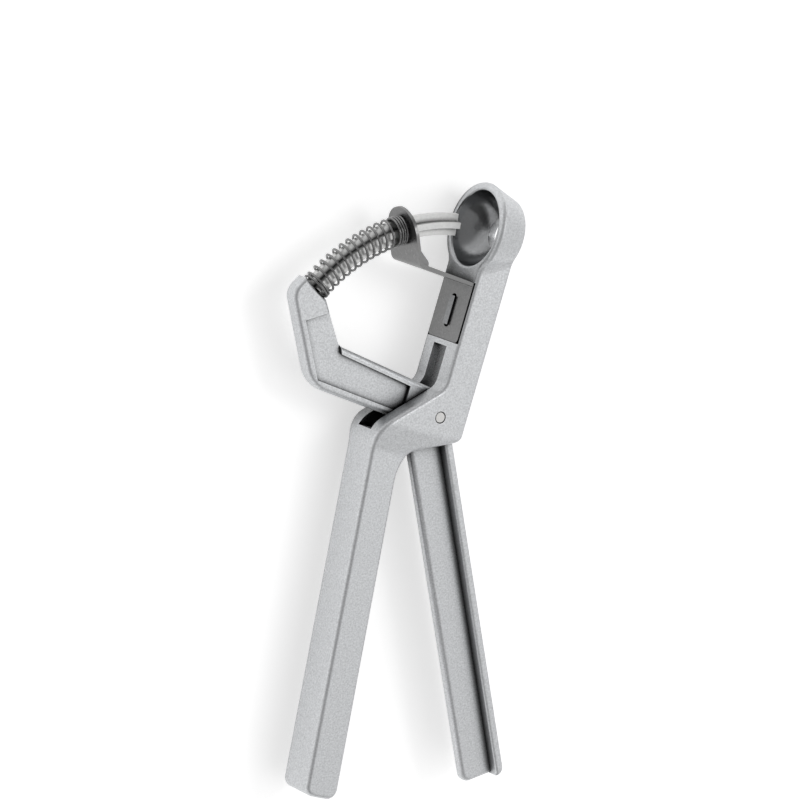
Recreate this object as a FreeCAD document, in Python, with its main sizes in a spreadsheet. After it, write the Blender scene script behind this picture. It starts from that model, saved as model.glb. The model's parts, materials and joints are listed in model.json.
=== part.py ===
import FreeCAD, Part
import math
import os
import re

import Sketcher
from FreeCAD import Placement, Rotation, Vector

# Olive pitter: a plier of two cast levers on one pin.  All outlines are drawn
# in the lever frame: the pivot is the origin, the cup arm points along +Y, the
# cup mouth looks along -X and the pivot pin lies along Z.  Every body then gets
# the same Placement, which leans the arm and lifts the tool onto its rest.

DIMENSIONS = {
    # how the tool lies
    "lean": (17.5, "degrees that the cup arm leans away from the tool's long axis"),
    "pivot_side": (7.22, "pivot to the middle of the tool's box, across"),
    "pivot_along": (20.12, "pivot to the middle of the tool's box, along"),
    # cup and cup arm
    "reach": (46.0, "pivot to the cup's axis"),
    "face": (1.0, "pivot to the plane of the arm's inner face"),
    "arm_depth": (9.2, "thickness of the arm, inner face to back"),
    "arm_width": (14.4, "width of the arm"),
    "arm_wall": (2.2, "side walls of the arm's channel"),
    "arm_base": (2.0, "floor of the arm's channel"),
    "mouth_radius": (9.4, "cup mouth, inside"),
    "cup_rim": (2.0, "width of the rim round the mouth"),
    "rim_height": (1.0, "height of the rim before the cup tapers"),
    "cup_height": (9.2, "mouth plane to the back of the cup"),
    "cup_back_radius": (8.8, "outside of the cup at its back"),
    "cup_blend": (3.5, "fillet between the cup and the arm"),
    "channel_gap": (1.4, "cup to the upper end of the arm's channel"),
    "bowl_depth": (7.2, "mouth plane to the floor of the bowl"),
    "exit_radius": (3.8, "hole that the stone leaves by"),
    # pivot cheeks
    "cheek_drop": (4.6, "pivot down to the corner of the cheeks"),
    "cheek_round": (2.4, "rounded corner of the cheeks"),
    "cheek_slope": (10.0, "pivot down to the inner corner of the cheeks' outline"),
    "taper_end": (11.0, "pivot down to where the cheeks have the handle's width"),
    "grip_root": (15.0, "pivot down to where the cheeks' outline meets the handle"),
    "shoulder_top": (7.0, "pivot up to where the shoulder leaves the arm's face"),
    "shoulder_drop": (6.0, "pivot down to where the shoulder meets the handle"),
    "shoulder_round": (7.0, "rounded shoulder"),
    "shoulder_wall": (2.2, "wall of the shoulder"),
    "hollow_round": (4.0, "rounded hollow corners of the outline"),
    "taper_round": (5.0, "soft start and end of the cheeks' taper"),
    "slot_width": (5.6, "slot that the plunger arm swings through"),
    "window_gap": (1.4, "upper end of the slot to the stripper's foot"),
    "open_angle": (15.0, "degrees that the plunger lever opens before it meets its stop"),
    "stop_gap": (0.3, "gap left at the stop"),
    "pin_radius": (1.5, "pivot pin"),
    "pin_play": (0.05, "radial play of the plunger lever on the pin"),
    # cup lever's handle, a channel
    "grip_tilt": (6.4, "degrees from the arm's line to the back of the channel handle"),
    "grip_flare": (0.4, "degrees by which the handle grows deeper towards its end"),
    "grip_back": (16.86, "pivot to the line of the handle's back, across"),
    "grip_height": (8.58, "depth of the channel handle at the pivot's level"),
    "grip_width": (11.2, "width of the channel handle"),
    "grip_wall": (1.9, "side walls of the handle's channel"),
    "grip_base": (2.2, "floor of the handle's channel"),
    "grip_length": (96.6, "pivot to the end of the channel handle"),
    "grip_end_wall": (3.0, "wall that closes the handle's channel"),
    "channel_lap": (1.0, "overlap of the handle's channel with the arm's"),
    "grip_end_round": (2.6, "corners of the channel handle's end"),
    # plunger lever
    "root_angle": (151.5, "degrees, where the plunger meets its arm"),
    "bow_thickness": (4.5, "thickness of the plunger arm"),
    "tip_outward": (4.7, "plunger's axis to the outer corner of the arm's end"),
    "tip_inward": (3.6, "plunger's axis to the inner corner of the arm's end"),
    "elbow_inward": (11.2, "reach of the cup less that of the outer elbow"),
    "bow_heel": (0.7, "pivot down to the outer elbow"),
    "crest_outward": (1.2, "reach of the arm's widest point less that of the cup"),
    "crest_drop": (4.2, "outer corner of the arm's end down to the arm's widest point"),
    "throat_inward": (16.0, "reach of the cup less that of the inner elbow"),
    "throat_rise": (10.4, "pivot up to the inner elbow"),
    "beam_top": (5.9, "pivot up to the top of the beam"),
    "beam_drop": (4.0, "pivot down to the underside of the beam"),
    "elbow_round": (9.0, "rounded outer elbow"),
    "crest_round": (4.0, "rounded crest of the arm"),
    "throat_round": (2.0, "rounded inner elbow"),
    "rim_width": (1.9, "rim round the sunk panel"),
    "panel_depth": (0.95, "depth of the panels sunk into the arm's faces"),
    "panel_inward": (4.4, "reach of the cup less that of the panels' outer top corner"),
    "panel_drop": (9.9, "outer corner of the arm's end down to that of the panels"),
    "panel_width": (8.5, "length of the panels' top edge, which runs out of the arm"),
    "panel_start": (7.5, "pivot to the end of the panels, across"),
    "hub_clearance": (0.35, "gap between the hub and the shoulder's inner face"),
    "hub_gap": (0.3, "gap between each end of the hub and the cheek"),
    # plunger lever's handle, a tee
    "tee_tilt": (29.2, "degrees from the arm's line to the tee handle"),
    "tee_back": (4.0, "pivot to the outer face of the tee handle"),
    "tee_edge": (6.4, "pivot to the line of the web's inner edge"),
    "tee_flange": (2.2, "thickness of the flange"),
    "tee_width": (9.0, "width of the flange"),
    "tee_web": (3.2, "thickness of the web"),
    "tee_length": (96.1, "pivot to the end of the tee handle"),
    "tee_start": (2.6, "pivot to the start of the flange, along the handle"),
    "web_neck": (4.4, "pivot to the web's inner edge at the hub"),
    "web_neck_run": (8.0, "pivot to where the web has its full height, along the handle"),
    "flange_round": (0.7, "rounded edges of the flange"),
    "web_round": (1.2, "rounded inner edge of the web"),
    "tee_end_round": (2.2, "corners of the tee handle's end"),
    # plunger
    "tip_angle": (98.2, "degrees, tip of the plunger"),
    "rib_reach": (2.65, "plunger's axis to the edge of its ribs in the lever plane"),
    "rib_side": (2.3, "plunger's axis to the edge of its side ribs"),
    "rib_thickness": (1.5, "thickness of each rib"),
    "tang_radius": (1.3, "round tang let in to the arm"),
    "tang_angle": (6.0, "degrees that the tang reaches into the arm"),
    # return spring
    "wire": (0.5, "wire of the spring"),
    "coil_radius": (3.5, "axis of the coil to the middle of the wire"),
    "spring_gap": (0.05, "play between the spring and its seats"),
    # stripper
    "sheet": (0.8, "sheet steel of the stripper"),
    "sheet_width": (12.8, "width of the stripper"),
    "sheet_play": (0.15, "gap between each end of the stripper's foot and its pocket"),
    "sheet_side": (0.4, "gap between each side of the stripper's foot and its pocket"),
    "foot_gap": (1.4, "cup to the bend at the top of the foot"),
    "foot_length": (15.0, "length of the foot"),
    "foot_round": (1.0, "rounded corners of the foot"),
    "seat_angle": (116.6, "degrees, middle of the spring seat"),
    "seat_drop": (7.6, "plunger's axis to the fold under the seat"),
    "seat_offset": (0.8, "plunger's axis to the middle of the seat's round top"),
    "seat_hole": (2.95, "hole that the plunger runs in"),
    "ear_height": (3.6, "fold to the top of the ears, along the seat"),
    "ear_run": (2.1, "fold to the end of the ears, along the bridge"),
    "ear_rise": (0.8, "height of the ears at their end"),
    "ear_inset": (0.5, "edge of the seat to the outside of the ears"),
    "ear_round": (1.2, "rounded corner of the ears"),
    "foot_bend": (1.2, "outside radius of the bend over the foot"),
    "fold_bend": (2.0, "outside radius of the fold under the seat"),
    "stake_start": (3.6, "lower end of the foot to the cast stake"),
    "stake_length": (7.1, "length of the cast stake"),
    "stake_width": (1.9, "width of the stake"),
    "stake_play": (0.6, "gap at each end of the stake"),
    "stake_fit": (0.1, "gap at each side of the stake"),
    "slot_round": (0.9, "rounded corners of the stake's slot"),
    "stake_rise": (0.5, "height of the stake over the foot"),
    "stake_root": (0.2, "depth of the stake's root below the pocket's floor"),
    # edges
    "edge_round": (1.1, "rounded edges of the castings"),
    "lip_round": (0.8, "rounded lip of the mouth"),
    "pin_bevel": (0.3, "bevelled ends of the pin"),
}

doc = FreeCAD.newDocument("OlivePitter")
sheet = doc.addObject("Spreadsheet::Sheet", "Dims")
for row, (alias, (value, note)) in enumerate(DIMENSIONS.items(), start=1):
    sheet.set(f"A{row}", alias)
    sheet.set(f"B{row}", str(value))
    sheet.set(f"C{row}", note)
    sheet.setAlias(f"B{row}", alias)
doc.recompute()


def dim(name):
    """Value of one driving dimension."""
    return float(getattr(sheet, name))


def bound(text):
    """Expression in which each dimension's name refers to its cell."""
    return re.sub(r"[a-z_]+", lambda word: CELLS.get(word.group(), word.group()), text)


def solve(text):
    """Number that a bound expression has now."""
    result = sheet.evalExpression(bound(text))
    return float(getattr(result, "Value", result))


CELLS = {name: f"Dims.{name}" for name in DIMENSIONS}
PIN_WAY = Vector(0, 0, 1)


def plane(body, role):
    """Origin plane or axis of a body, found by its role."""
    for feature in body.Origin.OriginFeatures:
        if feature.Role == role:
            return feature
    raise ValueError(role)


def new_body(name):
    """Empty body whose label names its node."""
    body = doc.addObject("PartDesign::Body", name)
    body.Label = name
    return body


def new_sketch(body, name, role="XY_Plane", turn="0", lift="0"):
    """Sketch on an origin plane, turned about its own upright axis and lifted off it."""
    sketch = body.newObject("Sketcher::SketchObject", name)
    sketch.AttachmentSupport = [(plane(body, role), "")]
    sketch.MapMode = "FlatFace"
    turning = Rotation(Vector(0, 1, 0), solve(turn))
    sketch.AttachmentOffset = Placement(Vector(0, 0, solve(lift)), turning)
    if turn != "0":
        sketch.setExpression("AttachmentOffset.Rotation.Angle", bound(turn))
    if lift != "0":
        sketch.setExpression("AttachmentOffset.Base.z", bound(lift))
    return sketch


def pin_point(sketch, curve, end, x, y):
    """Hold one point of a sketch at two expressions."""
    across = sketch.addConstraint(Sketcher.Constraint("DistanceX", -1, 1, curve, end, solve(x)))
    upward = sketch.addConstraint(Sketcher.Constraint("DistanceY", -1, 1, curve, end, solve(y)))
    sketch.setExpression(f"Constraints[{across}]", bound(x))
    sketch.setExpression(f"Constraints[{upward}]", bound(y))


def draw_outline(sketch, corners):
    """Closed outline of straight runs through corners given as expressions.

    A corner with a third member ends its run with an arc of that radius
    instead of a straight line; a fourth member is a point near the arc.
    """
    spots = [Vector(solve(corner[0]), solve(corner[1]), 0) for corner in corners]
    count = len(spots)
    first = sketch.GeometryCount
    for index, corner in enumerate(corners):
        start, end = spots[index], spots[(index + 1) % count]
        if len(corner) == 4:
            halfway = Vector(solve(corner[3][0]), solve(corner[3][1]), 0)
            if (halfway - start).cross(end - halfway).z < 0:
                start, end = end, start
            sketch.addGeometry(Part.Arc(start, halfway, end), False)
        else:
            sketch.addGeometry(Part.LineSegment(start, end), False)
    ends = [ends_of(sketch, first + index, spots[index]) for index in range(count)]
    for index in range(count):
        following = (index + 1) % count
        sketch.addConstraint(Sketcher.Constraint(
            "Coincident", first + index, ends[index][1], first + following, ends[following][0]))
    for index, corner in enumerate(corners):
        pin_point(sketch, first + index, ends[index][0], corner[0], corner[1])
        if len(corner) == 4:
            size = sketch.addConstraint(
                Sketcher.Constraint("Radius", first + index, solve(corner[2])))
            sketch.setExpression(f"Constraints[{size}]", bound(corner[2]))


def ends_of(sketch, curve, start):
    """Numbers of a curve's first and last point, as the outline runs."""
    if sketch.Geometry[curve].StartPoint.distanceToPoint(start) < 1e-6:
        return 1, 2
    return 2, 1


def draw_circle(sketch, x, y, radius):
    """Circle whose centre and radius are expressions."""
    curve = sketch.GeometryCount
    centre = Vector(solve(x), solve(y), 0)
    sketch.addGeometry(Part.Circle(centre, Vector(0, 0, 1), solve(radius)), False)
    size = sketch.addConstraint(Sketcher.Constraint("Radius", curve, solve(radius)))
    sketch.setExpression(f"Constraints[{size}]", bound(radius))
    pin_point(sketch, curve, 3, x, y)


def volume_of(body):
    """Volume of a body so far."""
    return body.Shape.Volume if body.Tip else 0.0


def finish_feature(feature, before, grows):
    """Recompute and stop if the feature failed or left the solid as it was."""
    doc.recompute()
    if "Invalid" in feature.State or "Error" in feature.State:
        raise RuntimeError(f"{feature.Name} failed")
    change = feature.Shape.Volume - before
    if abs(change) < 1e-6 or (grows is not None and (change > 0) != grows):
        raise RuntimeError(f"{feature.Name} changed the wrong way by {change}")
    return feature


def extrude(body, kind, name, sketch, width):
    """Pad or pocket of a sketch, to both sides of its plane."""
    before = volume_of(body)
    feature = body.newObject(f"PartDesign::{kind}", name)
    feature.Profile = sketch
    feature.Midplane = True
    feature.setExpression("Length", bound(width))
    return finish_feature(feature, before, kind == "Pad")


def pad(body, name, corners, width):
    """Outline in the lever plane, thickened to both sides."""
    sketch = new_sketch(body, name + "Sketch")
    draw_outline(sketch, corners)
    return extrude(body, "Pad", name, sketch, width)


def cut(body, name, corners, width):
    """Outline in the lever plane, cut away to both sides."""
    sketch = new_sketch(body, name + "Sketch")
    draw_outline(sketch, corners)
    return extrude(body, "Pocket", name, sketch, width)


def bore(body, name, radius):
    """Round hole along the pivot, right through."""
    sketch = new_sketch(body, name + "Sketch")
    draw_circle(sketch, "0", "0", radius)
    return extrude(body, "Pocket", name, sketch, "2 * arm_width")


def sink_faces(body, name, corners, level, depth):
    """The same shallow pocket in the front and the back face of a body."""
    for side, sign in (("Front", ""), ("Back", "-")):
        before = volume_of(body)
        sketch = new_sketch(body, name + side + "Sketch", lift=f"{sign}({level})")
        draw_outline(sketch, corners)
        feature = body.newObject("PartDesign::Pocket", name + side)
        feature.Profile = sketch
        feature.Reversed = sign == "-"
        feature.setExpression("Length", bound(depth))
        finish_feature(feature, before, False)


def spin(body, kind, name, sketch, axis, angle="360"):
    """Revolution or groove of a sketch about an axis."""
    before = volume_of(body)
    feature = body.newObject(f"PartDesign::{kind}", name)
    feature.Profile = sketch
    feature.ReferenceAxis = axis
    feature.setExpression("Angle", bound(angle))
    return finish_feature(feature, before, kind == "Revolution")


def round_edges(body, name, radius, chosen, kind="Fillet"):
    """Fillet or chamfer of the edges for which chosen(edge, its faces) is true."""
    base = body.Tip
    shape = base.Shape
    names = [f"Edge{number}" for number, edge in enumerate(shape.Edges, start=1)
             if chosen(edge, shape.ancestorsOfType(edge, Part.Face))]
    if not names:
        raise RuntimeError(f"{name} found no edge")
    feature = body.newObject(f"PartDesign::{kind}", name)
    feature.Base = (base, names)
    feature.setExpression("Radius" if kind == "Fillet" else "Size", bound(radius))
    return finish_feature(feature, shape.Volume, None)


def round_corners(body, name, radius, spots):
    """Fillet of the upright edges at points of the outline."""
    return round_edges(body, name, radius, lambda edge, faces: any(
        upright(edge, *spot) for spot in spots))


def middle(edge):
    """Point halfway along an edge."""
    return edge.valueAt((edge.FirstParameter + edge.LastParameter) / 2)


def upright(edge, x, y, within=0.4):
    """True for a straight edge along the pin that passes close to a point."""
    if edge.Curve.TypeId != "Part::GeomLine":
        return False
    if abs(edge.tangentAt(edge.FirstParameter).z) < 0.999:
        return False
    spot = middle(edge)
    return math.hypot(spot.x - x, spot.y - y) < within


def level(edge, height):
    """True for an edge that lies at one height on either side of the lever plane."""
    box = edge.BoundBox
    return box.ZLength < 1e-6 and abs(abs(box.ZMin) - height) < 1e-6


def at_depth(edge, x):
    """True for an edge that lies in a plane across the cup's axis."""
    box = edge.BoundBox
    return box.XLength < 1e-6 and abs(box.XMin - x) < 1e-6


def side_faces(faces):
    """How many of the faces are flat and look more or less along the pin."""
    flat = [face for face in faces if face.Surface.TypeId == "Part::GeomPlane"]
    return sum(abs(face.normalAt(0, 0).z) > 0.7 for face in flat)


# Lines of the channel handle: x at a given y.
GRIP_BACK = "(-grip_back - ({y}) * tan(grip_tilt))"
GRIP_FRONT = "(-grip_back + grip_height - ({y}) * tan(grip_tilt + grip_flare))"
GRIP_FLOOR = "(-grip_back + grip_base - ({y}) * tan(grip_tilt))"

# The shoulder runs from the arm's face to the back of the handle; its inner
# face crosses the pivot's line at the lift, and the hub turns just clear of it.
SHOULDER_SLOPE = ("((shoulder_top + shoulder_drop) / "
                  "(grip_back - shoulder_drop * tan(grip_tilt) - face))")
SHOULDER_SECANT = f"sqrt(1 + {SHOULDER_SLOPE} ^ 2)"
SHOULDER_LIFT = (f"(shoulder_top - shoulder_wall * {SHOULDER_SECANT}"
                 f" + {SHOULDER_SLOPE} * face)")
HUB_RADIUS = f"({SHOULDER_LIFT} / {SHOULDER_SECANT} - hub_clearance)"

# Ends of the stripper's foot and of the stake that holds it, up from the pivot.
FOOT_HIGH = "(reach - mouth_radius - cup_rim - foot_gap)"
FOOT_LOW = f"({FOOT_HIGH} - foot_length)"
STAKE_LOW = f"({FOOT_LOW} + stake_start)"
STAKE_HIGH = f"({STAKE_LOW} + stake_length)"

# Fold under the spring seat and middle of the seat's round top, out from the pivot.
SEAT_LOW = "(reach - seat_drop)"
SEAT_CENTRE = "(reach - seat_offset)"

# Heights of the bowed arm's outer corners over the pivot.
TIP_RISE = "((reach + tip_outward) * sin(root_angle))"
CREST_RISE = f"({TIP_RISE} - crest_drop)"
PANEL_RISE = f"({TIP_RISE} - panel_drop)"

# Underside of the beam at rest, and the line that stops it when it is open.
ELBOW_SIDE = "(reach - elbow_inward)"
BEAM_LEAN = f"(atan((beam_drop - bow_heel) / {ELBOW_SIDE}) / (1 deg))"
STOP_SLOPE = f"tan(open_angle - {BEAM_LEAN})"
STOP_DROP = f"((beam_drop * cos({BEAM_LEAN}) + stop_gap) / cos(open_angle - {BEAM_LEAN}))"


def cup_lever():
    """Casting with the cup, the arm, the two cheeks and the channel handle."""
    body = new_body("cup_lever")
    back = "arm_depth - face"
    shoulder = "-shoulder_drop"
    root = "-grip_root"
    grip_end = "-grip_length"
    pad(body, "Arm", [
        ("-face", "reach"),
        ("-face", "shoulder_top"),
        (GRIP_BACK.format(y=shoulder), shoulder),
        (GRIP_BACK.format(y=root), root),
        (GRIP_FRONT.format(y=root), root),
        ("-cheek_drop", "-cheek_slope"),
        (back, "-cheek_drop"),
        (back, "reach"),
    ], "arm_width")
    pad(body, "Grip", [
        (GRIP_BACK.format(y=shoulder), shoulder),
        (GRIP_BACK.format(y=grip_end), grip_end),
        (GRIP_FRONT.format(y=grip_end), grip_end),
        (GRIP_FRONT.format(y=shoulder), shoulder),
    ], "grip_width")
    taper_cheeks(body)
    round_outline(body)
    cup_shell(body)
    round_casting(body)
    cup_bowl(body)
    cut_channels(body)
    seat_stripper(body)
    bore(body, "PinHole", "pin_radius")
    return body


def taper_cheeks(body):
    """Slope the outside of the cheeks down to the width of the handle."""
    for side, sign in (("Front", "1"), ("Back", "-1")):
        sketch = new_sketch(body, f"Taper{side}Sketch", role="YZ_Plane")
        draw_outline(sketch, [
            ("-cheek_drop", f"{sign} * arm_width / 2"),
            ("-taper_end", f"{sign} * grip_width / 2"),
            ("-1.1 * grip_root", f"{sign} * grip_width / 2"),
            ("-1.1 * grip_root", f"{sign} * arm_width"),
            ("-cheek_drop", f"{sign} * arm_width"),
        ])
        extrude(body, "Pocket", f"Taper{side}", sketch, "4 * grip_back")


def round_outline(body):
    """Rounded corners of the outline seen along the pin."""
    back = dim("arm_depth") - dim("face")
    front_low = (solve(GRIP_FRONT.format(y="-grip_root")), -dim("grip_root"))
    ends = [(solve(line.format(y="-grip_length")), -dim("grip_length"))
            for line in (GRIP_BACK, GRIP_FRONT)]
    shoulder = (solve(GRIP_BACK.format(y="-shoulder_drop")), -dim("shoulder_drop"))
    round_corners(body, "ShoulderRound", "shoulder_round", [shoulder])
    round_corners(body, "CheekRound", "cheek_round", [(back, -dim("cheek_drop"))])
    round_corners(body, "FaceRound", "hollow_round", [(-dim("face"), dim("shoulder_top"))])
    slope = (-dim("cheek_drop"), -dim("cheek_slope"))
    round_corners(body, "SlopeRound", "hollow_round", [slope])
    round_corners(body, "GripRound", "3 * hollow_round", [front_low])
    round_corners(body, "GripEndRound", "grip_end_round", ends)
    round_edges(body, "TaperRound", "taper_round",
                lambda edge, faces: len(faces) == 2 and side_faces(faces) == 2)


def cup_shell(body):
    """Outside of the tapered cup, blended into the sides of the arm."""
    outside = new_sketch(body, "CupSketch")
    draw_outline(outside, [
        ("-face", "reach"),
        ("-face", "reach + mouth_radius + cup_rim"),
        ("rim_height - face", "reach + mouth_radius + cup_rim"),
        ("cup_height - face", "reach + cup_back_radius"),
        ("cup_height - face", "reach"),
    ])
    spin(body, "Revolution", "Cup", outside, (outside, ["Edge5"]))
    round_edges(body, "CupBlend", "cup_blend", lambda edge, faces: side_faces(faces) == 1
                and middle(edge).y > solve(FOOT_HIGH)
                and not at_depth(edge, -dim("face"))
                and not at_depth(edge, dim("arm_depth") - dim("face")))


def round_casting(body):
    """Rounded outer edges of the casting."""
    foot_high = solve(FOOT_HIGH)
    planes = [-dim("face"), dim("arm_depth") - dim("face")]

    def outer(edge, faces):
        in_plane = any(at_depth(edge, x) for x in planes)
        if middle(edge).y > foot_high:
            return in_plane
        return side_faces(faces) == 1

    round_edges(body, "EdgeRound", "edge_round", outer)


def cup_bowl(body):
    """Round bowl and the hole for the stone."""
    # The bowl is a ball that leaves the mouth and the floor at their radii.
    offset = "((mouth_radius ^ 2 - exit_radius ^ 2 - bowl_depth ^ 2) / (2 * bowl_depth))"
    ball = f"sqrt(mouth_radius ^ 2 + {offset} ^ 2)"
    halfway = (f"-face - {offset} + {ball} * cos(45)", f"reach + {ball} * sin(45)")
    inside = new_sketch(body, "BowlSketch")
    draw_outline(inside, [
        ("-2 * face", "reach"),
        ("-2 * face", "reach + mouth_radius"),
        ("-face", "reach + mouth_radius", ball, halfway),
        ("bowl_depth - face", "reach + exit_radius"),
        ("cup_height", "reach + exit_radius"),
        ("cup_height", "reach"),
    ])
    spin(body, "Groove", "Bowl", inside, (inside, ["Edge6"]))
    round_edges(body, "LipRound", "lip_round", lambda edge, faces: at_depth(edge, -dim("face"))
                and edge.Curve.TypeId == "Part::GeomCircle"
                and abs(edge.Curve.Radius - dim("mouth_radius")) < 1e-3)


def cut_channels(body):
    """Channels in the arm and the handle, and the slot for the plunger arm."""
    beyond = "2 * arm_depth"
    floor = "arm_base - face"
    # The shoulder's inner face meets the floor of the handle's channel at a corner.
    corner_x = (f"(-(grip_back - grip_base + {SHOULDER_LIFT} * tan(grip_tilt))"
                f" / (1 + {SHOULDER_SLOPE} * tan(grip_tilt)))")
    corner_y = f"({SHOULDER_LIFT} + {SHOULDER_SLOPE} * {corner_x})"
    cut(body, "ArmChannel", [
        (floor, "reach - mouth_radius - cup_rim - channel_gap"),
        (beyond, "reach - mouth_radius - cup_rim - channel_gap"),
        (beyond, corner_y),
        (corner_x, corner_y),
        (floor, f"{SHOULDER_LIFT} + {SHOULDER_SLOPE} * ({floor})"),
    ], "arm_width - 2 * arm_wall")
    floor_end = "-grip_length + grip_end_wall"
    start = f"({corner_y} + channel_lap)"
    cut(body, "GripChannel", [
        (GRIP_FLOOR.format(y=start), start),
        (GRIP_FLOOR.format(y=floor_end), floor_end),
        (beyond, floor_end),
        (beyond, start),
    ], "grip_width - 2 * grip_wall")
    left = "(-2 * grip_back)"
    cut(body, "Slot", [
        (left, f"{FOOT_LOW} - window_gap"),
        (floor, f"{FOOT_LOW} - window_gap"),
        (floor, f"{STOP_SLOPE} * ({floor}) - {STOP_DROP}"),
        (left, f"{STOP_SLOPE} * {left} - {STOP_DROP}"),
    ], "slot_width")


def seat_stripper(body):
    """Pocket for the stripper's foot and the stake that holds it."""
    cut(body, "Pocket", [
        ("-2 * face", f"{FOOT_LOW} - sheet_play"),
        ("sheet - face", f"{FOOT_LOW} - sheet_play"),
        ("sheet - face", f"{FOOT_HIGH} + sheet_play"),
        ("-2 * face", f"{FOOT_HIGH} + sheet_play"),
    ], "sheet_width + 2 * sheet_side")
    pad(body, "Stake", [
        ("-face - stake_rise", STAKE_LOW),
        ("sheet - face + stake_root", STAKE_LOW),
        ("sheet - face + stake_root", STAKE_HIGH),
        ("-face - stake_rise", STAKE_HIGH),
    ], "stake_width")


def plunger_lever():
    """Casting with the bowed arm, the hub and the tee handle."""
    body = new_body("plunger_lever")
    pad(body, "Bow", [
        ("0", "-beam_drop"),
        (f"-{ELBOW_SIDE}", "-bow_heel"),
        ("-reach - crest_outward", CREST_RISE),
        ("(reach + tip_outward) * cos(root_angle)", TIP_RISE),
        ("(reach - tip_inward) * cos(root_angle)", "(reach - tip_inward) * sin(root_angle)"),
        ("throat_inward - reach", "throat_rise"),
        ("0", "beam_top"),
    ], "bow_thickness")
    elbow = (-solve(ELBOW_SIDE), -dim("bow_heel"))
    crest = (-dim("reach") - dim("crest_outward"), solve(CREST_RISE))
    throat = (dim("throat_inward") - dim("reach"), dim("throat_rise"))
    round_corners(body, "ElbowRound", "elbow_round", [elbow])
    round_corners(body, "CrestRound", "crest_round", [crest])
    round_corners(body, "ThroatRound", "throat_round", [throat])
    round_edges(body, "BowRound", "edge_round", lambda edge, faces: side_faces(faces) == 1
                and level(edge, dim("bow_thickness") / 2) and middle(edge).x < -1)
    tee_handle(body)
    hub = new_sketch(body, "HubSketch")
    draw_circle(hub, "0", "0", HUB_RADIUS)
    extrude(body, "Pad", "Hub", hub, "arm_width - 2 * arm_wall - 2 * hub_gap")
    bow_panels(body)
    tang_bore(body)
    bore(body, "PinHole", "pin_radius + pin_play")
    return body


def tee_point(run, side):
    """Point at a run along the tee handle and a distance to its outer side."""
    x = f"(({run}) * sin(tee_tilt) + ({side}) * cos(tee_tilt))"
    y = f"(-({run}) * cos(tee_tilt) + ({side}) * sin(tee_tilt))"
    return x, y


def tee_handle(body):
    """Web and flange of the handle."""
    pad(body, "TeeWeb", [
        tee_point("-tee_start", "0"),
        tee_point("0", "-web_neck"),
        tee_point("web_neck_run", "-tee_edge"),
        tee_point("tee_length", "-tee_edge"),
        tee_point("tee_length", "tee_back - tee_flange / 2"),
        tee_point("-tee_start", "tee_back - tee_flange / 2"),
    ], "tee_web")
    pad(body, "TeeFlange", [
        tee_point("tee_start", "tee_back - tee_flange"),
        tee_point("tee_length", "tee_back - tee_flange"),
        tee_point("tee_length", "tee_back"),
        tee_point("tee_start", "tee_back"),
    ], "tee_width")
    web_end = [solve(value) for value in tee_point("tee_length", "-tee_edge")]
    flange_end = [solve(value) for value in tee_point("tee_length", "tee_back")]
    round_corners(body, "WebEndRound", "tee_end_round", [web_end])
    round_corners(body, "FlangeEndRound", "0.9 * tee_flange", [flange_end])
    round_edges(body, "FlangeRound", "flange_round", lambda edge, faces: side_faces(faces) == 1
                and level(edge, dim("tee_width") / 2))
    round_edges(body, "WebRound", "web_round", lambda edge, faces: side_faces(faces) == 1
                and level(edge, dim("tee_web") / 2) and middle(edge).y < -10
                and not on_flange(edge))


def on_flange(edge):
    """True for an edge where the web meets the flange."""
    spot = middle(edge)
    lean = math.radians(dim("tee_tilt"))
    side = spot.x * math.cos(lean) + spot.y * math.sin(lean)
    return side > dim("tee_back") - dim("tee_flange") - 0.1


def bow_panels(body):
    """Panels sunk into both faces of the bowed arm."""
    across, along = "-cos(root_angle)", "sin(root_angle)"
    sink_faces(body, "Panel", [
        ("-panel_start", "-beam_drop + 1.3 * rim_width"),
        (f"-{ELBOW_SIDE} + 0.6 * rim_width", "-bow_heel + rim_width"),
        ("panel_inward - reach", PANEL_RISE),
        (f"panel_inward - reach + panel_width * {across}", f"{PANEL_RISE} + panel_width * {along}"),
        ("throat_inward - reach - throat_round / 4", "throat_rise + 0.75 * throat_round"),
        ("throat_inward - reach + rim_width / 2", "throat_rise - 0.95 * rim_width"),
        ("-panel_start", "beam_top - rim_width / 3"),
    ], "bow_thickness / 2", "panel_depth")


def tang_bore(body):
    """Curved bore in the arm's end that grips the plunger's tang."""
    sketch = new_sketch(body, "TangSketch", role="XZ_Plane", turn="root_angle")
    draw_circle(sketch, "reach", "0", "tang_radius")
    spin(body, "Groove", "TangBore", sketch, (plane(body, "Z_Axis"), ""), "tang_angle")


def plunger():
    """Curved rod of cross section, bent about the pivot, with a round tang."""
    body = new_body("plunger")
    rod = new_sketch(body, "RodSketch", role="XZ_Plane", turn="tip_angle")
    half = "rib_thickness / 2"
    draw_outline(rod, [
        ("reach - rib_reach", f"-{half}"),
        ("reach - rib_reach", half),
        (f"reach - {half}", half),
        (f"reach - {half}", "rib_side"),
        (f"reach + {half}", "rib_side"),
        (f"reach + {half}", half),
        ("reach + rib_reach", half),
        ("reach + rib_reach", f"-{half}"),
        (f"reach + {half}", f"-{half}"),
        (f"reach + {half}", "-rib_side"),
        (f"reach - {half}", "-rib_side"),
        (f"reach - {half}", f"-{half}"),
    ])
    axis = (plane(body, "Z_Axis"), "")
    spin(body, "Revolution", "Rod", rod, axis, "root_angle - tip_angle")
    end = new_sketch(body, "TangSketch", role="XZ_Plane", turn="root_angle")
    draw_circle(end, "reach", "0", "tang_radius")
    spin(body, "Revolution", "Tang", end, axis, "tang_angle")
    return body


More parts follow.
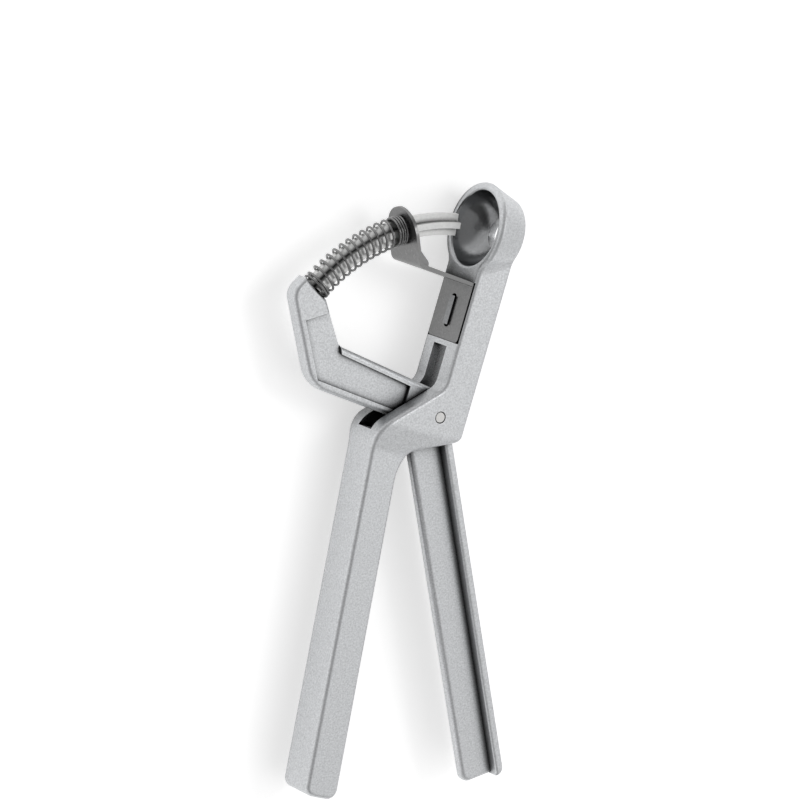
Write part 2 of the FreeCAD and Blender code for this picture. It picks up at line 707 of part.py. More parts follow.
def return_spring():
    """Space that the coil takes, from the stripper's seat to the plunger arm."""
    body = new_body("return_spring")
    play = "(reach - coil_radius - wire / 2)"
    start = f"(seat_angle + (sheet / 2 + spring_gap) / {play} * 180 / pi)"
    end = f"(root_angle - spring_gap / {play} * 180 / pi)"
    ring = new_sketch(body, "CoilSketch", role="XZ_Plane", turn=start)
    draw_circle(ring, "reach", "0", "coil_radius + wire / 2")
    draw_circle(ring, "reach", "0", "coil_radius - wire / 2")
    spin(body, "Revolution", "Coil", ring, (plane(body, "Z_Axis"), ""), f"{end} - {start}")
    return body


def seat_point(radius, side):
    """Point at a radius on one face of the spring seat: side is -1 at the spring."""
    x = f"({radius} * cos(seat_angle) + ({side}) * sheet / 2 * sin(seat_angle))"
    y = f"({radius} * sin(seat_angle) - ({side}) * sheet / 2 * cos(seat_angle))"
    return x, y


def stripper():
    """One bent sheet: foot on the arm, bridge over the mouth, spring seat."""
    body = new_body("stripper")
    pad(body, "Sheet", [
        ("-face", FOOT_LOW),
        ("sheet - face", FOOT_LOW),
        ("sheet - face", FOOT_HIGH),
        seat_point(SEAT_LOW, "1"),
        seat_point(SEAT_CENTRE, "1"),
        seat_point(SEAT_CENTRE, "-1"),
        seat_point(f"({SEAT_LOW} - sheet)", "-1"),
        ("-face", f"{FOOT_HIGH} - sheet"),
    ], "sheet_width")
    disc = new_sketch(body, "DiscSketch", role="XZ_Plane", turn="seat_angle")
    draw_circle(disc, SEAT_CENTRE, "0", "sheet_width / 2")
    extrude(body, "Pad", "Disc", disc, "sheet")
    hole = new_sketch(body, "HoleSketch", role="XZ_Plane", turn="seat_angle")
    draw_circle(hole, "reach", "0", "seat_hole")
    extrude(body, "Pocket", "Hole", hole, "2 * sheet")
    slot = new_sketch(body, "StakeSlotSketch", role="YZ_Plane")
    half = "(stake_width / 2 + stake_fit)"
    low = f"{STAKE_LOW} - stake_play"
    high = f"{STAKE_HIGH} + stake_play"
    draw_outline(slot, [(low, half), (low, f"-{half}"), (high, f"-{half}"), (high, half)])
    extrude(body, "Pocket", "StakeSlot", slot, "4 * face")
    round_edges(body, "SlotRound", "slot_round",
                lambda edge, faces: across(edge) and abs(middle(edge).z) < dim("stake_width"))
    round_edges(body, "FootRound", "foot_round",
                lambda edge, faces: across(edge) and middle(edge).y < solve(STAKE_LOW)
                and abs(middle(edge).z) > dim("stake_width"))
    bend_in = (-dim("face"), solve(FOOT_HIGH) - dim("sheet"))
    bend_out = (dim("sheet") - dim("face"), solve(FOOT_HIGH))
    fold_in = [solve(value) for value in seat_point(SEAT_LOW, "1")]
    fold_out = [solve(value) for value in seat_point(f"({SEAT_LOW} - sheet)", "-1")]
    for name, radius, inside, outside in (("Foot", "foot_bend", bend_in, bend_out),
                                          ("Fold", "fold_bend", fold_in, fold_out)):
        round_corners(body, f"{name}BendOutside", radius, [outside])
        round_corners(body, f"{name}BendInside", f"{radius} - sheet / 1.05", [inside])
    stripper_ears(body)
    return body


def stripper_ears(body):
    """Small gussets that stiffen the fold at both edges of the sheet."""
    fold_x, fold_y = seat_point(SEAT_LOW, "1")
    end_x = f"({fold_x} + ear_run)"
    end_y = f"({fold_y} + ear_run * ({FOOT_HIGH} - {fold_y}) / (sheet - face - {fold_x}))"
    for side, sign in (("Front", ""), ("Back", "-")):
        lift = f"{sign}((sheet_width - sheet) / 2 - ear_inset)"
        sketch = new_sketch(body, f"Ear{side}Sketch", lift=lift)
        draw_outline(sketch, [
            seat_point(f"({SEAT_LOW} - sheet / 2)", "0"),
            (end_x, f"{end_y} - sheet / 2"),
            (end_x, f"{end_y} + ear_rise"),
            seat_point(f"({SEAT_LOW} + ear_height)", "1"),
            seat_point(f"({SEAT_LOW} + ear_height)", "0"),
        ])
        extrude(body, "Pad", f"Ear{side}", sketch, "sheet")
    round_corners(body, "EarRound", "ear_round", [(solve(end_x), solve(f"{end_y} + ear_rise"))])


def across(edge):
    """True for a straight edge that runs through the sheet of the foot."""
    if edge.Curve.TypeId != "Part::GeomLine":
        return False
    return abs(edge.tangentAt(edge.FirstParameter).x) > 0.999


def pivot_pin():
    """Plain pin, flush with the cheeks."""
    body = new_body("pivot_pin")
    sketch = new_sketch(body, "PinSketch")
    draw_circle(sketch, "0", "0", "pin_radius")
    extrude(body, "Pad", "Pin", sketch, "arm_width")
    round_edges(body, "PinBevel", "pin_bevel",
                lambda edge, faces: level(edge, dim("arm_width") / 2), kind="Chamfer")
    return body


bodies = [cup_lever(), plunger_lever(), plunger(), return_spring(), stripper(), pivot_pin()]
doc.recompute()
for item in doc.Objects:
    if "Invalid" in item.State or "Error" in item.State:
        raise RuntimeError(f"{item.Name} is {item.State}")

os.makedirs("parts", exist_ok=True)
leaning = Rotation(PIN_WAY, -dim("lean"))
pivot = Vector(dim("pivot_side"), dim("pivot_along"), dim("mouth_radius") + dim("cup_rim"))
for body in bodies:
    body.Placement = Placement(pivot, leaning)
    shape = body.Shape
    if shape.isNull() or not shape.isValid():
        raise RuntimeError(f"{body.Label} is not a valid shape")
    box = shape.BoundBox
    print(body.Label, round(shape.Volume, 1), len(shape.Solids), [round(edge, 2) for edge in (
        box.XMin, box.XMax, box.YMin, box.YMax, box.ZMin, box.ZMax)])
    shape.exportStep(f"parts/{body.Label}.step")
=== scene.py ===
"""Looks of an olive pitter: two cast levers on a pin, a curved plunger with its coil
spring, and a bent stripper plate, lying on a pale table under soft light."""

import json
import logging
import math
from dataclasses import dataclass, field
from enum import Enum

import bmesh
import bpy
from mathutils import Matrix, Vector

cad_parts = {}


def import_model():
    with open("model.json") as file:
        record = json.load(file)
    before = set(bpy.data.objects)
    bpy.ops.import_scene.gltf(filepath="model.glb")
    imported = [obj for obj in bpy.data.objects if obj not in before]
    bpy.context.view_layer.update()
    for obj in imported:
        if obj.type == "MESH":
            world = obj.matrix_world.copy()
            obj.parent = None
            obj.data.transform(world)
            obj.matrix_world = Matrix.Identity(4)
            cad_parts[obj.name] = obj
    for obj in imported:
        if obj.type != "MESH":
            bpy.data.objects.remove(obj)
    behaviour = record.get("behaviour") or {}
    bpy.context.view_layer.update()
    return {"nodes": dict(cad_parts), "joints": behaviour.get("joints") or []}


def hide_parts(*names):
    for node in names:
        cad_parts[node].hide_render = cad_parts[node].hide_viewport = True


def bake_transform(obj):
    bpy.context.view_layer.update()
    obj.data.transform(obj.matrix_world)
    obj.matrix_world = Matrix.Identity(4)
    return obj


LOG = logging.getLogger("olive_pitter")

MM = 0.001
Colour = tuple[float, float, float]


class Body(Enum):
    """The two bodies of the tool, by the names that the frame gives them."""

    CUP_SIDE = "cup_side"
    PLUNGER_SIDE = "plunger_side"


@dataclass(frozen=True)
class LeverFrame:
    """The plane that the levers move in: the pivot, and the cup arm's direction.

    Angles are counted from the direction that the cup's back looks in, towards the
    cup, so that the cup's axis stands at a right angle and the plunger beyond it.
    """

    pivot: Vector
    lean: float = math.radians(17.5)

    def arc_point(self, radius: float, angle: float, rise: float = 0.0) -> Vector:
        """Point on an arc round the pivot.

        Args:
            radius: Distance from the pivot, in metres.
            angle: Angle in the lever frame, in radians.
            rise: Height over the lever plane, in metres.

        Returns:
            The point in the part's frame.
        """
        turned = angle - self.lean
        return self.pivot + Vector((radius * math.cos(turned), radius * math.sin(turned), rise))

    def point(self, across: float, along: float) -> Vector:
        """Point in the lever plane.

        Args:
            across: Distance from the pivot towards the cup's back, in metres.
            along: Distance from the pivot towards the cup, in metres.

        Returns:
            The point in the part's frame.
        """
        turn, lift = math.cos(self.lean), math.sin(self.lean)
        return self.pivot + Vector((across * turn + along * lift,
                                    along * turn - across * lift, 0.0))


# ---------------------------------------------------------------- node helpers

class NodeBench:
    """Adds and joins nodes in one tree, material or group."""

    def __init__(self, tree: bpy.types.NodeTree) -> None:
        """Take the tree to work on.

        Args:
            tree: Node tree of a material or a group.
        """
        self.tree = tree

    def add(self, kind: str, **settings: object) -> bpy.types.Node:
        """Add a node.

        Args:
            kind: Type of the node, without the leading "ShaderNode".
            settings: Properties of the node, and constants of its inputs where the
                name isn't a property: underscores stand for spaces there.

        Returns:
            The new node.
        """
        node = self.tree.nodes.new("ShaderNode" + kind)
        for name, value in settings.items():
            if hasattr(node, name):
                setattr(node, name, value)
            else:
                node.inputs[name.replace("_", " ")].default_value = value
        return node

    def join(self, source: bpy.types.NodeSocket, target: bpy.types.NodeSocket) -> None:
        """Link an output to an input.

        Args:
            source: The output.
            target: The input.
        """
        self.tree.links.new(source, target)

    def math(self, operation: str, first: object, second: object) -> bpy.types.NodeSocket:
        """Arithmetic on two sockets or numbers.

        Args:
            operation: Name of the Math node's operation.
            first: Socket or number.
            second: Socket or number.

        Returns:
            The result's socket.
        """
        node = self.add("Math", operation=operation)
        for slot, value in zip(node.inputs, (first, second)):
            if isinstance(value, bpy.types.NodeSocket):
                self.join(value, slot)
            else:
                slot.default_value = value
        return node.outputs["Value"]

    def noise(self, place: bpy.types.NodeSocket, scale: bpy.types.NodeSocket,
              detail: float, roughness: float) -> bpy.types.NodeSocket:
        """Fractal noise.

        Args:
            place: Coordinates.
            scale: Waves to a metre.
            detail: Octaves.
            roughness: Strength of the finer octaves.

        Returns:
            The noise's value.
        """
        node = self.add("TexNoise", Detail=detail, Roughness=roughness)
        self.join(place, node.inputs["Vector"])
        self.join(scale, node.inputs["Scale"])
        return node.outputs[0]

    def between(self, value: bpy.types.NodeSocket, low: float, high: float,
                start: float = 0.0, end: float = 1.0) -> bpy.types.NodeSocket:
        """Spread a range of values over another one, and hold it there.

        Args:
            value: Socket to map.
            low: Value that gives start.
            high: Value that gives end.
            start: Result at the low end.
            end: Result at the high end.

        Returns:
            The mapped value.
        """
        node = self.add("MapRange", From_Min=low, From_Max=high, To_Min=start, To_Max=end)
        self.join(value, node.inputs["Value"])
        return node.outputs["Result"]

    def tint(self, colour: Colour, factor: bpy.types.NodeSocket) -> bpy.types.NodeSocket:
        """Multiply a colour by a grey value.

        Args:
            colour: Linear colour.
            factor: The grey value.

        Returns:
            The colour's socket.
        """
        node = self.add("VectorMath", operation="SCALE")
        node.inputs[0].default_value = colour
        self.join(factor, node.inputs["Scale"])
        return node.outputs["Vector"]


class EffectGroup:
    """A shader node group with named inputs and outputs, built once."""

    def __init__(self, name: str, inputs: dict[str, float], outputs: list[str]) -> None:
        """Make the empty group.

        Args:
            name: Name of the group.
            inputs: Name and usual value of each number that goes in.
            outputs: Names of the values that come out.
        """
        self.tree = bpy.data.node_groups.new(name, "ShaderNodeTree")
        for label, usual in inputs.items():
            socket = self.tree.interface.new_socket(
                label, in_out="INPUT", socket_type="NodeSocketFloat")
            socket.default_value = usual
        for label in outputs:
            self.tree.interface.new_socket(label, in_out="OUTPUT", socket_type="NodeSocketFloat")
        self.bench = NodeBench(self.tree)
        self.given = self.tree.nodes.new("NodeGroupInput")
        self.result = self.tree.nodes.new("NodeGroupOutput")
        self.place = self.bench.add("TexCoord").outputs["Object"]

    def put(self, name: str, value: bpy.types.NodeSocket) -> None:
        """Send a value out of the group.

        Args:
            name: Name of the output.
            value: What goes out.
        """
        self.bench.join(value, self.result.inputs[name])

    def use(self, bench: NodeBench, **values: float) -> bpy.types.Node:
        """Place the group in a material.

        Args:
            bench: Bench of the material's tree.
            values: Values of the group's inputs: underscores stand for spaces.

        Returns:
            The group's node.
        """
        node = bench.add("Group", node_tree=self.tree)
        for name, value in values.items():
            node.inputs[name.replace("_", " ")].default_value = value
        return node


@dataclass(frozen=True)
class SkyShare:
    """Share of open sky at which the painted shade starts, and at which it is darkest."""

    free: float
    shut: float


# Sky shares between which painted shade darkens the colour, in hollows and in corners.
PAINTED_SHADE_SKY = SkyShare(0.70, 0.40)
PAINTED_CORNER_SKY = SkyShare(0.97, 0.50)
SKY_SAMPLES = 8
GRAIN_OCTAVES = 3.0
GRAIN_FINE_SHARE = 0.7
GRAIN_RANGE = (0.34, 0.66)
GRAIN_ROUGHNESS_SWING = 0.06
EDGE_SAMPLES = 6
EDGE_TURN = (0.995, 0.9)
BALL_SOFTNESS = 0.1 * MM


class Effects:
    """The surface effects that the finishes share."""

    def __init__(self) -> None:
        """Build each effect once."""
        self.grain = self.blasted_grain()
        self.shade = self.painted_hollow_shade("painted_cavity_shade", PAINTED_SHADE_SKY)
        self.crease = self.painted_hollow_shade("painted_crease_shade", PAINTED_CORNER_SKY)
        self.corner = self.painted_hollow_shade("painted_corner_shade", PAINTED_CORNER_SKY, own=True)
        self.edge = self.worn_edge()
        self.ball = self.inside_ball()

    @staticmethod
    def blasted_grain() -> EffectGroup:
        """Fine speckle of a blasted and tumbled casting.

        Returns:
            Group that puts out a brightness, a height and a roughness.
        """
        group = EffectGroup("blasted_grain", {"Scale": 2600.0, "Contrast": 0.1, "Roughness": 0.4},
                            ["Brightness", "Height", "Roughness"])
        bench, given = group.bench, group.given.outputs
        fine = bench.noise(group.place, given["Scale"], GRAIN_OCTAVES, GRAIN_FINE_SHARE)
        swing = bench.between(fine, *GRAIN_RANGE, -1.0, 1.0)
        speckle = bench.math("MULTIPLY", swing, given["Contrast"])
        group.put("Brightness", bench.math("ADD", speckle, 1.0))
        group.put("Height", fine)
        rougher = bench.math("MULTIPLY", swing, GRAIN_ROUGHNESS_SWING)
        group.put("Roughness", bench.math("SUBTRACT", given["Roughness"], rougher))
        return group

    @staticmethod
    def painted_hollow_shade(name: str, sky: SkyShare, own: bool = False) -> EffectGroup:
        """Painted shade in hollows and corners: the colour darkens where little open sky reaches.

        Args:
            name: Name of the group.
            sky: Shares of open sky between which the metal darkens.
            own: Whether only the piece's own surface hides the sky.

        Returns:
            Group that puts out a brightness: one in the open, Depth less in a hollow.
        """
        group = EffectGroup(name, {"Reach": 0.006, "Depth": 0.6}, ["Brightness"])
        bench = group.bench
        cover = bench.add("AmbientOcclusion", samples=SKY_SAMPLES, only_local=own)
        bench.join(group.given.outputs["Reach"], cover.inputs["Distance"])
        hidden = bench.between(cover.outputs["AO"], sky.free, sky.shut)
        darker = bench.math("MULTIPLY", hidden, group.given.outputs["Depth"])
        group.put("Brightness", bench.math("SUBTRACT", 1.0, darker))
        return group

    @staticmethod
    def worn_edge() -> EffectGroup:
        """Edges rubbed smooth and bright.

        Returns:
            Group that puts out a mask, one on a sharp outer edge.
        """
        group = EffectGroup("worn_edge", {"Radius": 0.0004}, ["Mask"])
        bench = group.bench
        bevel = bench.add("Bevel", samples=EDGE_SAMPLES)
        bench.join(group.given.outputs["Radius"], bevel.inputs["Radius"])
        true_normal = bench.add("NewGeometry").outputs["Normal"]
        dot = bench.add("VectorMath", operation="DOT_PRODUCT")
        bench.join(bevel.outputs["Normal"], dot.inputs[0])
        bench.join(true_normal, dot.inputs[1])
        group.put("Mask", bench.between(dot.outputs["Value"], *EDGE_TURN))
        return group

    @staticmethod
    def inside_ball() -> EffectGroup:
        """What lies inside a ball in the piece's own space.

        Returns:
            Group that puts out a mask, one inside the ball.
        """
        group = EffectGroup("inside_ball", {"X": 0.0, "Y": 0.0, "Z": 0.0, "Radius": 0.01},
                            ["Mask"])
        bench = group.bench
        centre = bench.add("CombineXYZ")
        for axis in "XYZ":
            bench.join(group.given.outputs[axis], centre.inputs[axis])
        gap = bench.add("VectorMath", operation="DISTANCE")
        bench.join(group.place, gap.inputs[0])
        bench.join(centre.outputs["Vector"], gap.inputs[1])
        beyond = bench.math("SUBTRACT", gap.outputs["Value"], group.given.outputs["Radius"])
        group.put("Mask", bench.between(beyond, BALL_SOFTNESS, -BALL_SOFTNESS))
        return group


# -------------------------------------------------------------------- finishes

@dataclass(frozen=True)
class SmoothAndShadedSpot:
    """Part of a casting inside a ball: painted shade makes it darker, and it is smoother with
    less grain.
    """

    centre: Vector
    radius: float
    painted_darkening: float
    smoothing: float
    polish: float


@dataclass(frozen=True)
class CastFinish:
    """Blasted light-metal casting: fine grain, edges a little smoother, and painted shade in
    hollows and corners.
    """

    name: str
    colour: Colour = (0.615, 0.625, 0.637)
    roughness: float = 0.46
    grain_scale: float = 2300.0
    grain_contrast: float = 0.14
    grain_depth: float = 0.03 * MM
    bump_strength: float = 0.35
    edge_radius: float = 0.5 * MM
    edge_gain: float = 0.08
    edge_smoothing: float = 0.1
    # Painted shade: how far and how deep the colour darkens in hollows, and in corners.
    painted_shade_reach: float = 14.0 * MM
    painted_shade_depth: float = 0.94
    painted_crease_reach: float = 1.8 * MM
    painted_crease_depth: float = 0.6
    spots: tuple[SmoothAndShadedSpot, ...] = ()

    def build(self, effects: Effects) -> bpy.types.Material:
        """Make the material.

        Args:
            effects: Shared effects.

        Returns:
            The material.
        """
        material, bench, shader = new_material(self.name)
        grain = effects.grain.use(bench, Scale=self.grain_scale, Contrast=self.grain_contrast,
                                  Roughness=self.roughness)
        shade = effects.shade.use(bench, Reach=self.painted_shade_reach, Depth=self.painted_shade_depth)
        crease = effects.crease.use(bench, Reach=self.painted_crease_reach, Depth=self.painted_crease_depth)
        edge = effects.edge.use(bench, Radius=self.edge_radius).outputs["Mask"]
        lift = bench.between(edge, 0.0, 1.0, 1.0, 1.0 + self.edge_gain)
        # Painted shade from hollows and corners darkens the colour.
        hidden = bench.math("MULTIPLY", shade.outputs["Brightness"], crease.outputs["Brightness"])
        brightness = bench.math("MULTIPLY", hidden, lift)
        speckle, height = grain.outputs["Brightness"], grain.outputs["Height"]
        roughness = bench.math("SUBTRACT", grain.outputs["Roughness"],
                               bench.math("MULTIPLY", edge, self.edge_smoothing))
        for spot in self.spots:
            x, y, z = spot.centre
            inside = effects.ball.use(bench, X=x, Y=y, Z=z, Radius=spot.radius).outputs["Mask"]
            # Painted shade darkens the colour inside the ball.
            dark = bench.between(inside, 0.0, 1.0, 1.0, 1.0 - spot.painted_darkening)
            brightness = bench.math("MULTIPLY", brightness, dark)
            smoother = bench.math("MULTIPLY", inside, spot.smoothing)
            roughness = bench.math("SUBTRACT", roughness, smoother)
            kept = bench.between(inside, 0.0, 1.0, 1.0, 1.0 - spot.polish)
            swing = bench.math("MULTIPLY", bench.math("SUBTRACT", speckle, 1.0), kept)
            speckle = bench.math("ADD", swing, 1.0)
            height = bench.math("MULTIPLY", height, kept)
        brightness = bench.math("MULTIPLY", brightness, speckle)
        bench.join(bench.tint(self.colour, brightness), shader.inputs["Base Color"])
        bench.join(roughness, shader.inputs["Roughness"])
        bump = bench.add("Bump", Strength=self.bump_strength, Distance=self.grain_depth)
        bench.join(height, bump.inputs["Height"])
        bench.join(bump.outputs["Normal"], shader.inputs["Normal"])
        shader.inputs["Metallic"].default_value = 1.0
        return material


@dataclass(frozen=True)
class SteelFinish:
    """Bright steel: rod, wire, sheet or pin, with a faint drawn or rolled grain."""

    name: str
    colour: Colour = (0.66, 0.655, 0.645)
    roughness: float = 0.24
    grain_scale: float = 1500.0
    grain_contrast: float = 0.05
    grain_depth: float = 0.02 * MM
    bump_strength: float = 0.12
    # Painted shade: how far and how deep the colour darkens in hollows, and in the piece's own
    # corners.
    painted_shade_reach: float = 6.0 * MM
    painted_shade_depth: float = 0.6
    painted_corner_reach: float = 1.3 * MM
    painted_corner_depth: float = 0.0

    def build(self, effects: Effects) -> bpy.types.Material:
        """Make the material.

        Args:
            effects: Shared effects.

        Returns:
            The material.
        """
        material, bench, shader = new_material(self.name)
        grain = effects.grain.use(bench, Scale=self.grain_scale, Contrast=self.grain_contrast,
                                  Roughness=self.roughness)
        shade = effects.shade.use(bench, Reach=self.painted_shade_reach, Depth=self.painted_shade_depth)
        corner = effects.corner.use(bench, Reach=self.painted_corner_reach, Depth=self.painted_corner_depth)
        # Painted shade from hollows and the piece's own corners darkens the colour.
        hidden = bench.math("MULTIPLY", shade.outputs["Brightness"], corner.outputs["Brightness"])
        brightness = bench.math("MULTIPLY", grain.outputs["Brightness"], hidden)
        bench.join(bench.tint(self.colour, brightness), shader.inputs["Base Color"])
        bench.join(grain.outputs["Roughness"], shader.inputs["Roughness"])
        bump = bench.add("Bump", Strength=self.bump_strength, Distance=self.grain_depth)
        bench.join(grain.outputs["Height"], bump.inputs["Height"])
        bench.join(bump.outputs["Normal"], shader.inputs["Normal"])
        shader.inputs["Metallic"].default_value = 1.0
        return material


def new_material(name: str) -> tuple[bpy.types.Material, NodeBench, bpy.types.Node]:
    """Empty material with a Principled shader.

    Args:
        name: Name of the material.

    Returns:
        The material, a bench for its nodes, and the shader's node.
    """
    material = bpy.data.materials.new(name)
    material.use_nodes = True
    bench = NodeBench(material.node_tree)
    return material, bench, material.node_tree.nodes["Principled BSDF"]


def dress(node: bpy.types.Object, material: bpy.types.Material) -> None:
    """Give every slot of a piece the same material.

    Args:
        node: Piece to dress.
        material: Its finish.
    """
    if not node.material_slots:
        node.data.materials.append(material)
    for place in node.material_slots:
        place.material = material


# ---------------------------------------------------------------- sub-assemblies

@dataclass
class CupSide:
    """Cup lever with its stripper plate and the pin."""

    nodes: dict[str, bpy.types.Object]
    frame: LeverFrame
    bowl_across: float = -2.53 * MM
    bowl_along: float = 46.0 * MM
    bowl_radius: float = 9.75 * MM
    stake_across: float = -4.0 * MM
    stake_along: float = 25.35 * MM
    stake_radius: float = 4.7 * MM
    # The sheet's low colour is painted shade: it stands in for the dark surroundings that the
    # polished sheet reflects. Its hollows get painted shade too.
    sheet: SteelFinish = SteelFinish("stripper_sheet", colour=(0.23, 0.23, 0.23), roughness=0.32,
                                     painted_shade_reach=3.0 * MM, painted_shade_depth=0.35)
    pin: SteelFinish = SteelFinish("pin_steel", roughness=0.25)

    def build(self, effects: Effects) -> list[bpy.types.Object]:
        """Dress the lever, the stripper and the pin.

        Args:
            effects: Shared effects.

        Returns:
            The pieces.
        """
        # Painted shade darkens the bowl and the stake; the bowl is also smoother, with less
        # grain.
        bowl = SmoothAndShadedSpot(self.frame.point(self.bowl_across, self.bowl_along),
                          self.bowl_radius, painted_darkening=0.38, smoothing=0.26, polish=0.75)
        stake = SmoothAndShadedSpot(self.frame.point(self.stake_across, self.stake_along),
                           self.stake_radius, painted_darkening=0.50, smoothing=0.0, polish=0.3)
        casting = CastFinish("cup_lever_casting", spots=(bowl, stake))
        dress(self.nodes["cup_lever"], casting.build(effects))
        dress(self.nodes["stripper"], self.sheet.build(effects))
        dress(self.nodes["pivot_pin"], self.pin.build(effects))
        return [self.nodes[name] for name in ("cup_lever", "stripper", "pivot_pin")]


@dataclass
class PlungerSide:
    """Plunger lever with its plunger."""

    nodes: dict[str, bpy.types.Object]
    casting: CastFinish = CastFinish("plunger_lever_casting")
    # The rod gets painted shade in the corners between its ribs and in its hollows.
    rod: SteelFinish = SteelFinish("plunger_steel", colour=(0.62, 0.62, 0.615), roughness=0.36,
                                   painted_shade_reach=1.6 * MM, painted_corner_depth=0.75)

    def build(self, effects: Effects) -> list[bpy.types.Object]:
        """Dress the lever and the plunger.

        Args:
            effects: Shared effects.

        Returns:
            The pieces.
        """
        dress(self.nodes["plunger_lever"], self.casting.build(effects))
        dress(self.nodes["plunger"], self.rod.build(effects))
        return [self.nodes[name] for name in ("plunger_lever", "plunger")]


@dataclass
class ReturnSpring:
    """Coil of round wire that runs along the plunger's arc."""

    frame: LeverFrame
    reach: float = 46.0 * MM
    coil_radius: float = 3.45 * MM
    wire_radius: float = 0.3 * MM
    start_angle: float = math.radians(117.21)
    end_angle: float = math.radians(151.43)
    turns: float = 16.8
    seat_turns: float = 3.2
    arm_turns: float = 1.6
    steps_per_turn: int = 36
    sides: int = 10
    finish: SteelFinish = SteelFinish("spring_wire", colour=(0.22, 0.22, 0.22), roughness=0.24,
                                      painted_shade_reach=2.0 * MM)
    travel: list[float] = field(default_factory=list)

    def share_at(self, turn: float) -> float:
        """How far along the active coils a turn lies.

        Args:
            turn: Number of turns from the stripper's end.

        Returns:
            Zero to one, held at the closed ends.
        """
        active = self.turns - self.seat_turns - self.arm_turns
        return min(max((turn - self.seat_turns) / active, 0.0), 1.0)

    def angle_at(self, turn: float) -> float:
        """Where along the arc a turn of the wire lies.

        Args:
            turn: Number of turns from the stripper's end.

        Returns:
            Angle in the lever frame, in radians.
        """
        # Closed turns touch on the arc's inner side and fan out a little beyond it.
        wire_angle = 2 * self.wire_radius / (self.reach - self.coil_radius)
        first = self.start_angle + wire_angle / 2
        last = self.end_angle - wire_angle / 2
        if turn < self.seat_turns:
            return first + wire_angle * turn
        if turn > self.turns - self.arm_turns:
            return last - wire_angle * (self.turns - turn)
        open_start = first + wire_angle * self.seat_turns
        open_end = last - wire_angle * self.arm_turns
        return open_start + self.share_at(turn) * (open_end - open_start)

    def centre(self, turn: float) -> Vector:
        """Middle of the wire.

        Args:
            turn: Number of turns from the stripper's end.

        Returns:
            The point in the part's frame.
        """
        angle = self.angle_at(turn)
        swing = 2 * math.pi * turn
        radius = self.reach + self.coil_radius * math.cos(swing)
        return self.frame.arc_point(radius, angle, self.coil_radius * math.sin(swing))

    def wire_mesh(self) -> bpy.types.Mesh:
        """Round wire swept along the coil, with closed ends.

        Returns:
            The mesh, and in travel how far along the active coils each vertex lies.
        """
        mesh = bpy.data.meshes.new("spring_coil")
        form = bmesh.new()
        steps = round(self.turns * self.steps_per_turn)
        small = 0.5 / self.steps_per_turn
        rings = []
        self.travel = []
        for step in range(steps + 1):
            turn = self.turns * step / steps
            middle = self.centre(turn)
            along = (self.centre(turn + small) - self.centre(turn - small)).normalized()
            axis_point = self.frame.arc_point(self.reach, self.angle_at(turn))
            outward = middle - axis_point
            outward = (outward - along * outward.dot(along)).normalized()
            across = along.cross(outward)
            ring = []
            for side in range(self.sides):
                turned = 2 * math.pi * side / self.sides
                offset = outward * math.cos(turned) + across * math.sin(turned)
                ring.append(form.verts.new(middle + offset * self.wire_radius))
                self.travel.append(self.share_at(turn))
            rings.append(ring)
        for here, there in zip(rings, rings[1:]):
            for side in range(self.sides):
                following = (side + 1) % self.sides
                form.faces.new((here[side], here[following], there[following], there[side]))
        form.faces.new(list(reversed(rings[0])))
        form.faces.new(rings[-1])
        bmesh.ops.recalc_face_normals(form, faces=form.faces)
        form.to_mesh(mesh)
        form.free()
        for polygon in mesh.polygons:
            polygon.use_smooth = len(polygon.vertices) == 4
        return mesh

    def build(self, effects: Effects) -> list[bpy.types.Object]:
        """Make the coil in place of the frame's spring, and dress it.

        Args:
            effects: Shared effects.

        Returns:
            The piece.
        """
        coil = bpy.data.objects.new("spring_coil", self.wire_mesh())
        bpy.context.scene.collection.objects.link(coil)
        dress(coil, self.finish.build(effects))
        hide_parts("return_spring")
        self.frame.arc_point(self.reach, self.start_angle)
        self.frame.arc_point(self.reach, self.end_angle)
        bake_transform(coil)
        return [coil]


# ------------------------------------------------------------------ the studio

@dataclass(frozen=True)
class Softbox:
    """Square area lamp that looks at the middle of the tool."""

    name: str
    direction: tuple[float, float, float]
    size: float
    radiance: float
    distance: float = 0.9

    def build(self) -> None:
        """Hang the lamp; a radiance of one is white."""
        place = Vector(self.direction).normalized() * self.distance
        data = bpy.data.lights.new(self.name, "AREA")
        data.shape = "SQUARE"
        data.size = self.size
        data.energy = self.radiance * math.pi * self.size ** 2
        lamp = bpy.data.objects.new(self.name, data)
        lamp.location = place
        lamp.rotation_euler = (-place).to_track_quat("-Z", "Y").to_euler()
        bpy.context.scene.collection.objects.link(lamp)


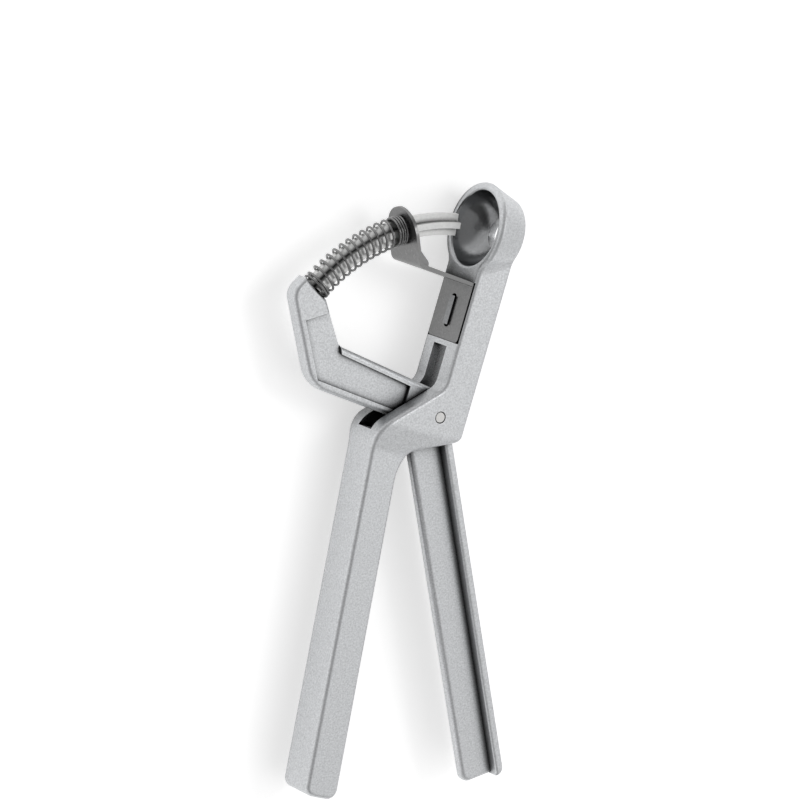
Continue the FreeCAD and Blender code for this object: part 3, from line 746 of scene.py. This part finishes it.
@dataclass
class Studio:
    """Pale table, soft lights and the camera."""

    frame: LeverFrame
    right: Vector = field(default_factory=lambda: Vector((0.846, 0.024, 0.532)))
    up: Vector = field(default_factory=lambda: Vector((0.098, 0.975, -0.200)))
    distance: float = 1.2
    lens: float = 223.7
    sensor: float = 36.0
    aim_right: float = -5.9 * MM
    aim_up: float = 2.8 * MM
    table_size: float = 6.0
    table_colour: Colour = (0.90, 0.90, 0.90)
    table_roughness: float = 0.9
    table_glow: float = 0.52
    sky: tuple[tuple[float, float], ...] = ((0.0, 1.00), (0.22, 0.96), (0.46, 0.42), (1.0, 0.34))
    key: Softbox = Softbox("key_softbox", (0.45, 0.30, 0.84), size=0.36, radiance=2.9)
    fill: Softbox = Softbox("fill_softbox", (0.46, -0.22, 0.86), size=1.0, radiance=0.54)

    def build(self) -> None:
        """Set the table, the lights and the camera."""
        self.table()
        self.surroundings()
        for lamp in (self.key, self.fill):
            lamp.build()
        self.camera()
        scene = bpy.context.scene
        scene.view_settings.view_transform = "Standard"

    def table(self) -> None:
        """Plain table that the tool lies on."""
        half = self.table_size / 2
        mesh = bpy.data.meshes.new("table")
        corners = [(-half, -half, 0), (half, -half, 0), (half, half, 0), (-half, half, 0)]
        mesh.from_pydata(corners, [], [(0, 1, 2, 3)])
        table = bpy.data.objects.new("table", mesh)
        bpy.context.scene.collection.objects.link(table)
        material, bench, shader = new_material("table_top")
        shader.inputs["Base Color"].default_value = (*self.table_colour, 1.0)
        shader.inputs["Roughness"].default_value = self.table_roughness
        shader.inputs["Specular IOR Level"].default_value = 0.0
        # What looks at the table sees it a little paler than the light alone makes it.
        path = bench.add("LightPath")
        seen = bench.math("MAXIMUM", path.outputs["Is Camera Ray"], path.outputs["Is Glossy Ray"])
        seen = bench.math("MAXIMUM", seen, path.outputs["Is Transmission Ray"])
        shader.inputs["Emission Color"].default_value = (1.0, 1.0, 1.0, 1.0)
        bench.join(bench.math("MULTIPLY", seen, self.table_glow),
                   shader.inputs["Emission Strength"])
        dress(table, material)

    def surroundings(self) -> None:
        """Room that is pale at the horizon and darker over it."""
        world = bpy.data.worlds.new("studio")
        bpy.context.scene.world = world
        world.use_nodes = True
        bench = NodeBench(world.node_tree)
        height = bench.add("SeparateXYZ")
        bench.join(bench.add("TexCoord").outputs["Generated"], height.inputs["Vector"])
        ramp = bench.add("ValToRGB")
        stops = ramp.color_ramp.elements
        while len(stops) < len(self.sky):
            stops.new(0.5)
        for stop, (rise, level) in zip(stops, self.sky):
            stop.position = rise
            stop.color = (level, level, level, 1.0)
        bench.join(height.outputs["Z"], ramp.inputs["Fac"])
        background = world.node_tree.nodes["Background"]
        bench.join(ramp.outputs["Color"], background.inputs["Color"])

    def camera(self) -> None:
        """Long lens that looks at the levers from above the plunger."""
        back = self.right.cross(self.up).normalized()
        aim = self.frame.pivot + self.right * self.aim_right + self.up * self.aim_up
        turn = Matrix((self.right.normalized(), self.up.normalized(), back)).transposed()
        data = bpy.data.cameras.new("camera")
        data.lens = self.lens
        data.sensor_width = self.sensor
        camera = bpy.data.objects.new("camera", data)
        camera.matrix_world = Matrix.Translation(aim + back * self.distance) @ turn.to_4x4()
        bpy.context.scene.collection.objects.link(camera)
        bpy.context.scene.camera = camera


def main() -> None:
    """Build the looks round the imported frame."""
    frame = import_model()
    joint = frame["joints"][0]
    lever_frame = LeverFrame(pivot=Vector(joint["pos_m"]))
    effects = Effects()
    for assembly in (CupSide(frame["nodes"], lever_frame), PlungerSide(frame["nodes"]),
                     ReturnSpring(lever_frame)):
        for piece in assembly.build(effects):
            LOG.info("%s: %d faces", piece.name, len(piece.data.polygons))
    Studio(lever_frame).build()
    bpy.context.view_layer.update()


if __name__ == "__main__":
    logging.basicConfig(level=logging.INFO)
    main()
